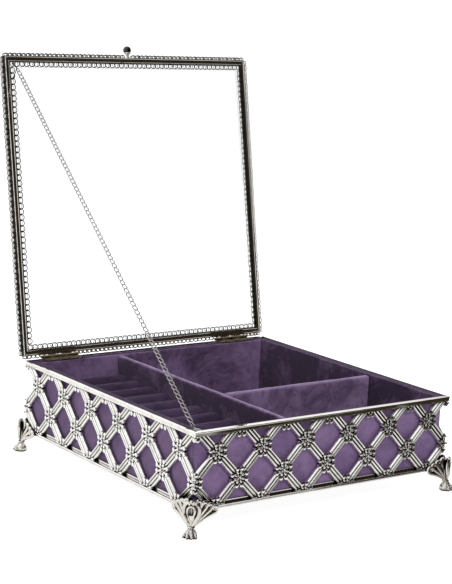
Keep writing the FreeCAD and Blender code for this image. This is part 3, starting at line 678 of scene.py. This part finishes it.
def inflate(shape, name, voxel, pressure, cap):
    """Remeshes a closed pad, blows it up as cloth at an enlarged size, and keeps it within cap."""
    unit = 0.001 * CLOTH_SCALE
    data = bpy.data.meshes.new(name)
    data.from_pydata([v * CLOTH_SCALE * 0.001 for v in shape.verts], [], shape.faces)
    pad = bpy.data.objects.new(name, data)
    scene = bpy.context.scene
    scene.collection.objects.link(pad)
    remesh = pad.modifiers.new("Remesh", "REMESH")
    remesh.mode = "VOXEL"
    remesh.voxel_size = voxel * unit
    even = bpy.data.meshes.new_from_object(pad.evaluated_get(bpy.context.evaluated_depsgraph_get()))
    pad.modifiers.clear()
    pad.data = even
    start = [v.co.copy() for v in even.vertices]
    cloth = pad.modifiers.new("Cloth", "CLOTH")
    cloth.settings.use_pressure = True
    cloth.settings.uniform_pressure_force = pressure
    cloth.settings.effector_weights.gravity = 0
    for step in range(CLOTH_STEPS):
        scene.frame_set(step + 1)
    blown = bpy.data.meshes.new_from_object(pad.evaluated_get(bpy.context.evaluated_depsgraph_get()))
    scene.frame_set(1)
    result = Shape()
    limit = cap * unit
    for vertex, first in zip(blown.vertices, start):
        move = vertex.co - first
        if move.length > limit:
            move = move.normalized() * limit
        result.verts.append((first + move) * (1 / unit))
    result.faces = [list(p.vertices) for p in blown.polygons]
    bpy.data.objects.remove(pad)
    return result


def roll_form(lo, hi):
    """Plain roll along X between two corners, round on top and flat underneath."""
    half = (hi.y - lo.y) / 2 - 0.5
    middle_y = (lo.y + hi.y) / 2
    top = hi.z - 0.7
    short = 0.4
    end = [(0, 0.86), (0.5, 0.94), (1.6, 0.985), (5, 1)]
    places = [(lo.x + short + along, size) for along, size in end]
    places.append(((lo.x + hi.x) / 2, 1))
    places += [(hi.x - short - along, size) for along, size in reversed(end)]
    rings = []
    for x, size in places:
        ring = []
        for j in range(20):
            turn = 2 * math.pi * j / 20
            y = middle_y + half * size * math.cos(turn)
            z = top - half + half * size * math.sin(turn)
            ring.append(Vector((x, y, max(z, lo.z + 0.5))))
        rings.append(ring)
    return skin(rings)


def wrinkled(shape, seed, amount=0.35):
    """Small folds in the fabric of a roll, deeper near its ends."""
    lo = min(v.x for v in shape.verts)
    hi = max(v.x for v in shape.verts)
    for v in shape.verts:
        end = min(v.x - lo, hi - v.x)
        fold = noise.noise(Vector((v.x * 0.10, v.y * 0.35, seed * 9.1 + v.z * 0.2)))
        tuck = math.exp(-end / 7) * noise.noise(Vector((seed * 5.3, v.y * 0.7, v.z * 0.7)))
        v.z += amount * fold + 0.9 * tuck - 0.25
    return shape


def build_rolls():
    lo, hi = local_box("ring_roll_seat")
    seat = rounded_block(lo, hi, 2.0, 6.0, napped(0.2, 0.06, 11))
    made = seat.piece("ring_seat_pad", "box", "velvet_lining", SHADED_LINING, ["ring_roll_seat"])
    for i in range(ROLLS):
        name = "ring_roll_%02d" % (i + 1)
        lo, hi = local_box(name)
        form = roll_form(lo, hi)
        form = inflate(form, name, 1.6, 6.0, 0.9)
        roll = wrinkled(form, i).piece("roll_pad_%02d" % (i + 1), "box", "velvet_lining", SHADED_LINING,
                                       [name], crease=180)
        smooth = roll.modifiers.new("Smooth", "SUBSURF")
        smooth.levels = smooth.render_levels = 1


def build_floor_pads():
    """Crowned pads on the floor of the two right-hand compartments."""
    for seed, side in enumerate(("front", "back")):
        lo, hi = local_box("floor_pad_" + side)
        middle = (lo + hi) / 2
        half = (hi - lo) / 2
        puff = napped(0.25, 0.05, seed + 20)

        def push(point, normal):
            inside_x = 1 - abs(point.x - middle.x) / half.x
            inside_y = 1 - abs(point.y - middle.y) / half.y
            crown = 0.5 * min(1.0, 6 * min(inside_x, inside_y)) if normal.z > 0.5 else 0
            return puff(point, normal) + Vector((0, 0, crown - 0.15 * (normal.z > 0.5)))

        pad = rounded_block(lo, hi, 0.85, 5.0, push)
        made = pad.piece("floor_cushion_" + side, "box", "velvet_lining", SHADED_LINING,
                         ["floor_pad_" + side], crease=180)


# ---- feet ----

def side_leaf():
    """Leafy side of a foot along +X from the corner, facing +Z, with height along Y."""
    shape = Shape()
    fronds = [
        ([(0.9, 8.4), (1.8, 13), (3.6, 18), (6.4, 22.6), (6.6, 25.4), (4.4, 26.2), (3.6, 24.6)], 1.5),
        ([(1.4, 8.8), (4.2, 13), (7.6, 17.4), (11.2, 21.4), (11.6, 24.0), (9.4, 24.6), (8.6, 23)], 1.5),
        ([(2.0, 9.2), (6.0, 12.6), (10.6, 16.2), (15.2, 19.4), (16.2, 21.8), (14.4, 22.8),
          (13.2, 21.4)], 1.4),
        ([(2.4, 9.2), (6.8, 11.6), (11.4, 13.8), (16.0, 15.4), (19.6, 16.8), (20.4, 19.6),
          (18.6, 21.0), (17.0, 19.8), (17.6, 18.6)], 1.3)]
    for i, (points, thick) in enumerate(fronds):
        path = spline([(x, y, 0.9 + 0.25 * i) for x, y in points])
        shape.add(tube(path, lambda t, r=thick: r * (0.55 + 0.6 * math.sin(math.pi * t) ** 0.8), UP,
                       8, flat=0.85))
    for i in range(3):
        low = Vector((1.8 + 2.4 * i, 10.5 + 0.9 * i, 1.6))
        high = Vector((3.4 + 3.6 * i, 19.5 - 0.4 * i, 1.7))
        shape.add(tube(spline([low, (low + high) / 2 + Vector((0.7, -0.4, 0.5)), high], 4),
                       lambda t: 0.5 * (0.4 + 0.6 * math.sin(math.pi * t)), UP, 6))
    eye = revolve([(2.1, 0), (2.2, 1.4), (1.7, 2.3), (1.1, 1.9), (0.7, 1.0), (0, 0.9)], 14)
    shape.add(eye, Matrix.Translation((17.6, 19.1, 0.4)))
    outline = [(0, 8.6), (2.4, 8.6), (6, 11.4), (11.5, 14), (16, 15.6), (19.4, 17.4), (19.6, 19.8),
               (16, 22.2), (11, 24.2), (6, 25.6), (0, 26.2)]
    back = [Vector((x, y, 0)) for x, y in outline]
    front = [Vector((x * 0.97, 9 + (y - 9) * 0.96, 1.0)) for x, y in outline]
    return shape.add(skin([back, front]))


def corner_drop():
    """Shield across the corner, facing +Z: a drop-shaped rim round a hollow, dark from the metal's
    painted shade.
    """
    shape = Shape()
    middle = 17.9
    rim = []
    count = 28
    for i in range(count):
        t = 2 * math.pi * i / count
        narrow = math.sin(t / 2) ** 1.4
        rim.append(Vector((3.9 * math.sin(t) * narrow, middle - 5.4 * math.cos(t), 1.9)))
    shape.add(tube(rim, 0.8, UP, 8, closed=True))
    dish = [[Vector((p.x * size, middle + (p.y - middle) * size, z)) for p in rim]
            for size, z in ((1.0, 0.2), (1.0, 1.7), (0.85, 0.9), (0.6, 0.5), (0.3, 0.4))]
    shape.add(skin(dish))
    for hand in (-1, 1):
        path = spline([(hand * 0.9, 8.6, 0.8), (hand * 2.4, 12.0, 0.9), (hand * 4.9, 16.5, 0.3),
                       (hand * 5.4, 21.5, 0.2), (hand * 3.6, 25.2, 0.8), (hand * 1.4, 25.6, 1.4),
                       (hand * 1.6, 24.2, 1.6)])
        shape.add(tube(path, lambda t: 0.75 + 0.55 * math.sin(math.pi * t), UP, 8))
    shape.add(dome((1.5, 1.7, 1.4), 12, 5), Matrix.Translation((0, 26.0, 0.9)))
    return shape


def paw():
    """Claw paw standing on z = 0, toes towards +X, with its collared ankle."""
    profile = [(0, 0), (3.9, 0), (4.4, 0.4), (4.7, 1.3), (4.75, 2.6), (4.4, 4.0), (3.6, 5.2),
               (2.6, 6.2), (2.1, 7.0), (2.7, 7.4), (3.0, 7.9), (2.8, 8.4), (2.0, 8.8), (2.3, 9.2),
               (1.9, 9.8), (2.2, 11.5), (3.2, 14.0), (3.4, 17.0), (0, 17.0)]
    shape = revolve(profile, 24)
    sideways = Vector((0, 1, 0))
    toe = dome((2.0, 1.45, 2.2), 12, 7, -0.95)
    knuckle = dome((1.3, 1.05, 1.3), 10, 5, -0.9)
    claw = tube(spline([(5.4, 0, 2.4), (6.2, 0, 1.6), (6.3, 0, 0.7)], 4),
                lambda t: 0.8 * (1 - 0.7 * t), sideways, 8)
    tendon = tube(spline([(3.4, 0, 4.4), (2.7, 0, 5.9), (2.0, 0, 7.2)], 4),
                  lambda t: 0.8 * (1 - 0.5 * t), sideways, 8)
    for i in range(4):
        out = Matrix.Rotation(math.radians((i - 1.5) * 36), 4, "Z")
        shape.add(toe, out @ Matrix.Translation((4.4, 0, 2.2)))
        shape.add(knuckle, out @ Matrix.Translation((3.4, 0, 4.3)))
        shape.add(claw, out)
        shape.add(tendon, out)
    return shape


def corner_foot():
    """Front-left foot: a leaf along each wall, the shield across the corner, the paw and their core."""
    leaf = side_leaf()
    swap = Matrix(((0, 1, 0, 0), (1, 0, 0, 0), (0, 0, 1, 0), (0, 0, 0, 1)))
    at_corner = Matrix.Translation((-CORNER, -CORNER, 0))
    across = Matrix.Translation((-0.6, -0.6, 0)) @ Matrix.Rotation(math.radians(-45), 4, "Z")
    outward = Matrix.Rotation(math.radians(225), 4, "Z")
    foot = Shape()
    foot.add(leaf, at_corner @ STAND_UP)
    foot.add(leaf, at_corner @ swap @ STAND_UP)
    foot.add(corner_drop(), at_corner @ across @ STAND_UP)
    foot.add(paw(), Matrix.Translation((-PAW, -PAW, 0)) @ outward)
    cores = [(-1.6, 3.0, 9.0, 17.2, 0.8, 3), (-1.5, 0.1, 12.0, 26.0, 0.7, 4),
             (0.0, 16.8, 15.8, 17.2, 0.6, 4)]
    for near, far, low, high, radius, step in cores:
        lo = (-CORNER + near, -CORNER + near, low)
        hi = (-CORNER + far, -CORNER + far, high)
        foot.add(rounded_block(lo, hi, radius, step))
    return foot


def build_feet():
    foot = corner_foot()
    for i, name in enumerate(("front_left", "front_right", "back_right", "back_left")):
        turned(foot, i).piece("claw_foot_" + name, "box", "cast_plate", FEET, ["foot_" + name])


# ---- lid ----

def loop_lace(length, pitch, tall, wire):
    """Bent-wire lace along +X from the origin: round arches towards +Y, each over the next."""
    count = round(length / pitch)
    step = length / count
    lace = tube([Vector((0, wire, 0)), Vector((length, wire, 0))], wire, UP, 6)
    for i in range(count):
        middle = (i + 0.5) * step
        level = 0.2 if i % 2 else -0.2
        path = []
        for j in range(LACE_BENDS + 1):
            turn = math.pi * j / LACE_BENDS
            x = middle - LACE_OVERLAP * step * math.cos(turn)
            path.append(Vector((min(max(x, 0.2), length - 0.2),
                                wire + (tall - 2 * wire) * math.sin(turn), level)))
        lace.add(tube(path, wire, UP, 6))
    return lace


def inner_lace(z, wire):
    """Lace inside all four lid bars at a given height of the closed lid."""
    inner = LID_HALF - FLANGE
    front = LID_FRONT + FLANGE
    back = LID_BACK - FLANGE
    along = loop_lace(2 * inner, LACE_PITCH, LACE_TALL, wire)
    clear = LACE_TALL + LACE_APART
    sides = loop_lace(back - front - 2 * clear, LACE_PITCH, LACE_TALL, wire)
    shape = Shape()
    shape.add(along, Matrix.Translation((-inner, front, z)))
    shape.add(along, Matrix.Translation((inner, back, z)) @ QUARTER_TURN @ QUARTER_TURN)
    shape.add(sides, Matrix.Translation((inner, front + clear, z)) @ QUARTER_TURN)
    shape.add(sides, Matrix.Translation((-inner, back - clear, z)) @ QUARTER_TURN.inverted())
    return Shape().add(shape, OPENED)


def outer_lace():
    """Two laces round the lid's edge, clear of the knob; the near one stops at the hinges."""
    deep = LID_BACK - LID_FRONT
    free = HINGE_X - HINGE_LONG / 2 - 1
    hinge_end = HINGE_X + HINGE_LONG / 2 + 1
    backs = {NEAR_LACE_Z: [(-LID_HALF, -hinge_end), (-free, free), (hinge_end, LID_HALF)],
             FAR_LACE_Z: [(-LID_HALF, LID_HALF)]}
    shape = Shape()

    def strip(length, matrix):
        shape.add(loop_lace(length, OUTER_PITCH, OUTER_TALL, OUTER_WIRE), matrix)

    for z, spans in backs.items():
        strip(deep, Matrix.Translation((-LID_HALF, LID_FRONT, z)) @ QUARTER_TURN)
        strip(deep, Matrix.Translation((LID_HALF, LID_BACK, z)) @ QUARTER_TURN.inverted())
        for start, end in ((-LID_HALF, KNOB_X - KNOB_GAP), (KNOB_X + KNOB_GAP, LID_HALF)):
            strip(end - start,
                  Matrix.Translation((end, LID_FRONT, z)) @ QUARTER_TURN @ QUARTER_TURN)
        for start, end in spans:
            strip(end - start, Matrix.Translation((start, LID_BACK, z)))
    return Shape().add(shape, OPENED)


def lid_knob():
    """Fluted cup and ball on the lid's front edge."""
    reach = KNOB_REACH - KNOB_R * 0.7
    cup = revolve([(0, 0), (2.3, 0), (2.5, 0.5), (2.2, 0.9), (1.3, 1.2), (1.1, 2.2), (1.5, 3.2),
                   (2.1, reach - 1.2), (2.9, reach - 0.2), (2.9, reach), (2.4, reach),
                   (0, reach - 1)], 20)
    ball = revolve([(KNOB_R * math.cos(t), KNOB_R * math.sin(t))
                    for t in (math.pi * (i / 16 - 0.5) for i in range(17))], 24)
    stand = (OPENED @ Matrix.Translation((KNOB_X, LID_FRONT, LID_Z + LID_THICK / 2))
             @ Matrix.Rotation(math.pi / 2, 4, "X"))
    collar = tube(circle(2.75, reach - 0.1, 24), 0.35, UP, 6, closed=True)
    shape = Shape().add(cup.add(collar), stand)
    shape.piece("knob_cup", "lid", "plated_frame", FRAME, ["lid_knob_cup"])
    stand_ball = stand @ Matrix.Translation((0, 0, KNOB_REACH))
    Shape().add(ball, stand_ball).piece("knob_ball", "lid", "plated_frame", PAINTED_DARK_WIRE, ["lid_knob_ball"],
                                        crease=180)


def build_lid():
    under = inner_lace(GLASS_Z - 0.5, INNER_WIRE)
    over = inner_lace(LID_Z + LID_THICK - 0.4, UPPER_WIRE)
    # painted reflection: the lower lace wears the dark wire copy, the upper lace the pale copy
    under.piece("lace_inside", "lid", "plated_wire", PAINTED_DARK_WIRE, ["lid_lace_inner"])
    over.piece("lace_outside", "lid", "plated_wire", PAINTED_PALE_WIRE, ["lid_lace_upper"])
    outer_lace().piece("lace_edge", "lid", "plated_wire", EDGE_WIRE, ["lid_lace_outer"])
    lid_knob()


# ---- chain ----

def link():
    """Curb link of round wire, long along X, its two ends turned opposite ways about X."""
    end = LINK_WIDE / 2 - LINK_WIRE / 2
    straight = LINK_LONG / 2 - LINK_WIDE / 2
    path = []
    count = 18
    for i in range(count):
        turn = 2 * math.pi * (i + 0.5) / count
        x = end * math.cos(turn)
        x += math.copysign(straight, x)
        y = end * math.sin(turn)
        twist = math.radians(LINK_TWIST) * x / (LINK_LONG / 2)
        path.append(Vector((x, y * math.cos(twist), y * math.sin(twist))))
    skew = Matrix.Rotation(math.radians(-LINK_SKEW), 4, "Z")
    return Shape().add(tube(path, LINK_WIRE / 2, UP, 8, closed=True), skew)


def build_links():
    """Taut chain from the eye to the open lid's bail, as the two halves that fold together."""
    line = OPENED @ CHAIN_BAIL - CHAIN_EYE
    along = line.normalized()
    inner_half = LINK_LONG / 2 - CAD_LINK_WIRE
    first = inner_half - EYE_WIRE
    last = line.length - inner_half + LINK_SLACK
    step = (last - first) / (LINKS - 1)
    side = along.cross(UP).normalized()
    lift = side.cross(along)
    basis = Matrix((along, side, lift)).transposed().to_4x4()
    roll = basis @ Matrix.Rotation(math.radians(CHAIN_TURN), 4, "X")
    slim = Matrix.Diagonal((1, END_LINK, END_LINK, 1))
    one = link()
    halves = (Shape(), Shape())
    for i in range(LINKS):
        at = Matrix.Translation(CHAIN_EYE + along * (first + i * step)) @ roll
        halves[i >= LOWER_LINKS].add(one, at @ slim if i in (0, LINKS - 1) else at)
    halves[0].piece("links_lower", "chain_lower_half", "plated_wire", CHROME, ["chain_lower"])
    halves[1].piece("links_upper", "chain_upper_half", "plated_wire", CHROME, ["chain_upper"])


def build_bail():
    """V of wire in the lid's corner, with a small cap on each foot."""
    bail = Shape()
    cap = revolve([(0.75, 0), (0.85, 0.3), (0.6, 0.6), (0.4, 0.7)], 10)
    for x, y in BAIL_FEET:
        foot = Vector((x, y, CHAIN_BAIL.z))
        bail.add(tube([CHAIN_BAIL, (CHAIN_BAIL + foot) / 2, foot], 0.35, UP, 8))
        bail.add(cap, Matrix.Translation((x, y, CHAIN_BAIL.z - 0.35)))
    bail.add(dome((0.5, 0.5, 0.5), 10, 6, -0.99), Matrix.Translation(CHAIN_BAIL))
    Shape().add(bail, OPENED).piece("bail", "lid", "plated_wire", PAINTED_DARK_WIRE, ["chain_bail"])


def build_eye():
    """Ring for the chain's lower end, on a tab that lies on the walls' front-left corner."""
    lo = local_box("chain_eye")[0]
    low = WALL_TOP - 0.02
    at = Vector((CHAIN_EYE.x, CHAIN_EYE.y - 1.5, WALL_TOP + 0.3))
    eye = tube([at + point for point in circle(1.5, 0, 20)], 0.32, UP, 8, closed=True)
    eye.add(rounded_block((lo.x, lo.y, low), (lo.x + 6.5, lo.y + 6.5, WALL_TOP + 0.5), 0.2, 2.0))
    eye.add(rounded_block((lo.x + 3.5, lo.y + 5.0, low), (at.x - 0.9, at.y + 0.4, WALL_TOP + 0.45),
                          0.2, 2.0))
    eye.piece("eye_tab", "box", "plated_wire", PAINTED_DARK_WIRE, ["chain_eye"])


# ---- CAD nodes that stay ----

def finish_node(name, material, edge=0.0002):
    """Gives a CAD node its material and a small rounding on its edges."""
    kept = nodes[name]
    for slot in kept.material_slots:
        slot.material = material
    if edge:
        bevel = kept.modifiers.new("Edges", "BEVEL")
        bevel.width = edge
        bevel.segments = 2
        bevel.limit_method = "ANGLE"
        bevel.angle_limit = math.radians(35)


def finish_nodes():
    finish_node("top_rim_back", RIM)
    for side in ("left", "right"):
        for name in ("hinge_box_leaf_", "hinge_lid_leaf_", "hinge_pin_"):
            finish_node(name + side, BRASS, 0.0001)
    finish_node("hinge_screws", STEEL, 0.0)
    finish_node("foot_screws", STEEL, 0.0)
    finish_node("bottom_board", BOARD, 0.0)
    finish_node("base_felt", FELT, 0.0)
    finish_node("lid_glass", GLASS, 0.0)


# ---- studio ----

def area(name, at, target, size, power):
    """Soft lamp aimed at a target; the plating mirrors the studio instead of it."""
    light = bpy.data.lights.new(name, "AREA")
    light.shape = "RECTANGLE"
    light.size, light.size_y = size
    light.energy = power
    lamp = bpy.data.objects.new(name, light)
    bpy.context.scene.collection.objects.link(lamp)
    lamp.location = at
    lamp.rotation_euler = (Vector(target) - Vector(at)).to_track_quat("-Z", "Y").to_euler()
    lamp.visible_glossy = False


def build_world():
    """White studio with a dark, uneven backdrop in front and to the right for the plating."""
    world = bpy.data.worlds.new("studio")
    bpy.context.scene.world = world
    world.use_nodes = True
    tree = world.node_tree
    direction = node(tree, "TexCoord").outputs["Generated"]
    to_dark = Vector((0.55, -0.80, 0.08)).normalized()
    facing = node(tree, "VectorMath", {0: direction, 1: to_dark},
                  operation="DOT_PRODUCT").outputs["Value"]
    streaks = noise_of(tree, direction, 5.0, 1.0)
    front = spread(tree, facing, 0.50, 0.72, 0.0, 1.0)
    half = spread(tree, facing, -0.3, 0.1, 0.0, 0.92)
    cards = node(tree, "Math", {0: spread(tree, streaks, 0.53, 0.57, 0.0, 1.0), 1: half},
                 operation="MULTIPLY").outputs[0]
    broken = node(tree, "Math", {0: front, 1: cards}, operation="MAXIMUM").outputs[0]
    colour = blend_colours(tree, broken, (1.0, 1.0, 1.0), (0.030, 0.022, 0.014))
    rays = node(tree, "LightPath").outputs
    direct = node(tree, "Math", {0: rays["Is Camera Ray"], 1: rays["Is Transmission Ray"]},
                  operation="MAXIMUM").outputs[0]
    seen = blend_colours(tree, direct, colour, (1.0, 1.0, 1.0))
    strength = spread(tree, rays["Is Diffuse Ray"], 0.0, 1.0, 1.15, 0.5)
    background = tree.nodes["Background"]
    tree.links.new(seen, background.inputs["Color"])
    tree.links.new(strength, background.inputs["Strength"])


def floor_material():
    """White floor; the plating mirrors its front part as dark, like a table's far edge."""
    material, tree, shader = new_material("studio_floor")
    shader.inputs["Base Color"].default_value = (0.5, 0.5, 0.5, 1)
    shader.inputs["Roughness"].default_value = 0.7
    shader.inputs["Specular IOR Level"].default_value = 0.0
    shader.inputs["Emission Color"].default_value = (1, 1, 1, 1)
    shader.inputs["Emission Strength"].default_value = 0.92
    place = node(tree, "TexCoord").outputs["Object"]
    apart = node(tree, "VectorMath", {0: place, 1: (0.35, -0.94, 0)},
                 operation="DOT_PRODUCT").outputs["Value"]
    patches = noise_of(tree, place, 14.0, 2.0)
    front = node(tree, "Math", {0: spread(tree, apart, 0.17, 0.24, 0.0, 1.0),
                                1: spread(tree, patches, 0.34, 0.42, 0.6, 1.0)},
                 operation="MULTIPLY").outputs[0]
    mirrored = node(tree, "Emission", {"Color": blend_colours(tree, front, (1.0, 0.99, 0.97),
                                                              (0.035, 0.026, 0.016))})
    rays = node(tree, "LightPath").outputs
    reflected = node(tree, "Math", {0: rays["Is Glossy Ray"], 1: rays["Is Transmission Ray"]},
                     operation="SUBTRACT", use_clamp=True).outputs[0]
    mixed = node(tree, "MixShader", {0: reflected, 1: shader.outputs[0], 2: mirrored.outputs[0]})
    tree.links.new(mixed.outputs[0], tree.nodes["Material Output"].inputs["Surface"])
    return material


def build_studio():
    data = bpy.data.meshes.new("floor")
    data.from_pydata([(-6, -6, 0), (6, -6, 0), (6, 6, 0), (-6, 6, 0)], [], [(0, 1, 2, 3)])
    data.materials.append(floor_material())
    floor = bpy.data.objects.new("floor", data)
    bpy.context.scene.collection.objects.link(floor)
    build_world()
    area("key", (-0.4, -1.5, 1.4), (0, 0, 0.05), (0.7, 0.7), 24)
    area("top", (0.3, 0.1, 1.6), (0, 0, 0.05), (1.0, 1.0), 8)
    area("back", (1.3, 0.8, 0.9), (0, 0, 0.1), (0.5, 1.0), 6)


def build_camera():
    data = bpy.data.cameras.new("camera")
    data.sensor_fit = "VERTICAL"
    data.sensor_height = 36
    data.lens = 100.46
    data.clip_start = 0.01
    data.clip_end = 50
    camera = bpy.data.objects.new("camera", data)
    bpy.context.scene.collection.objects.link(camera)
    camera.location = (-0.75459, -1.03107, 0.37484)
    view = Vector((0.58403, 0.79150, -0.18010))
    roll = Quaternion((0, 0, 1), math.radians(2.84))
    camera.rotation_mode = "QUATERNION"
    camera.rotation_quaternion = view.to_track_quat("-Z", "Y") @ roll
    bpy.context.scene.camera = camera


build_camera()
build_studio()
build_lattices()
build_mouldings()
build_boards()
build_rolls()
build_floor_pads()
build_feet()
build_lid()
build_links()
build_bail()
build_eye()
finish_nodes()

bpy.context.scene.view_settings.view_transform = "Standard"
bpy.context.view_layer.update()
